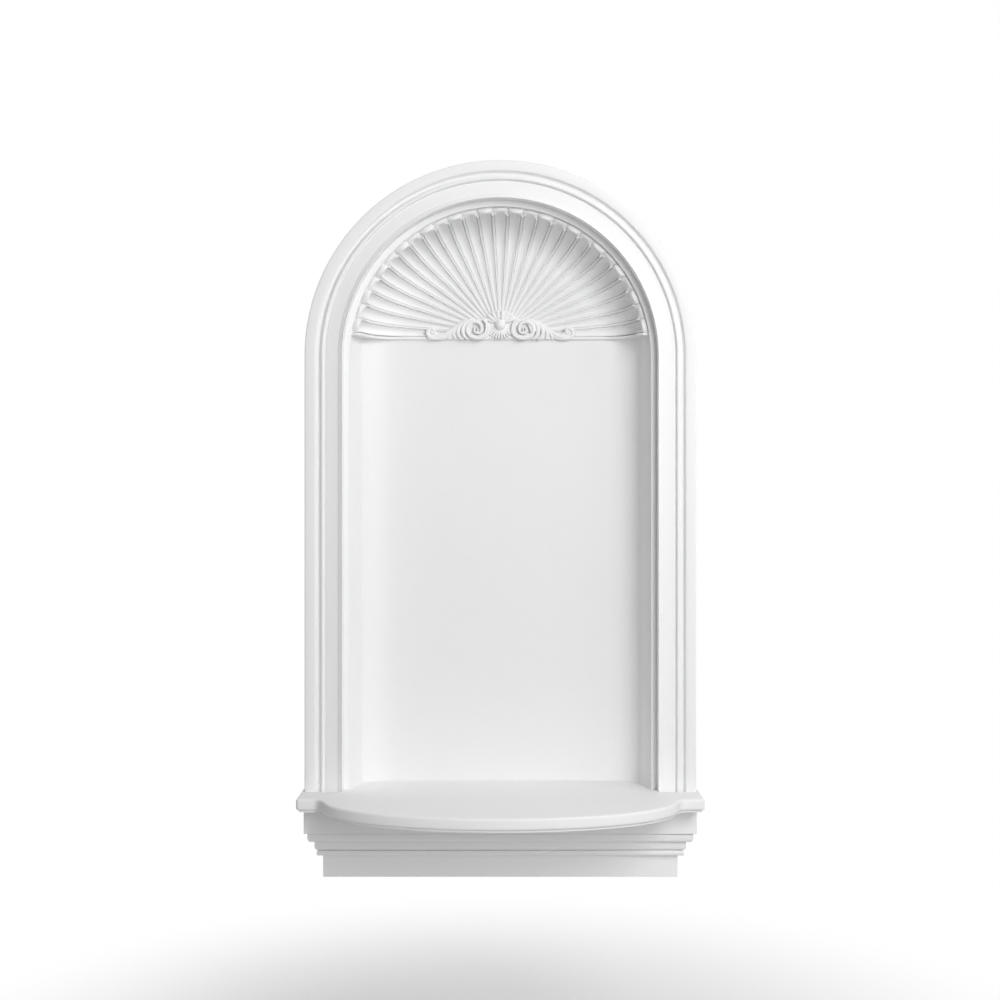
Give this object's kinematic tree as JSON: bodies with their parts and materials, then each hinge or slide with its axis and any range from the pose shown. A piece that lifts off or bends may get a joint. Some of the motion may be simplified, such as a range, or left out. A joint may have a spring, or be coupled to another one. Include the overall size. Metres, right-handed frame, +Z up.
{
  "type": "recessed wall niche",
  "caption": "Tall arched niche let into a wall, with a fluted shell head, a scroll ornament, a moulded casing, a bow-fronted shelf and a stepped apron.",
  "frame": {"origin": "middle of the apron's flat back, on the face of the wall", "axes": "+X across the niche to the right as seen from the room, +Y into the wall, +Z up"},
  "size_m": [0.779, 0.3565, 1.4029],
  "materials": {
    "painted_recess": "rigid moulded foam, primed and sprayed flat white",
    "painted_moulding": "rigid moulded foam, primed and sprayed flat white",
    "painted_ornament": "rigid moulded foam, primed and sprayed flat white, softened detail"
  },
  "bodies": {
    "root": {"recess_shell": "painted_recess", "arched_surround": "painted_moulding", "shelf": "painted_moulding", "apron": "painted_moulding", "cartouche": "painted_ornament"}
  },
  "joints": []
}
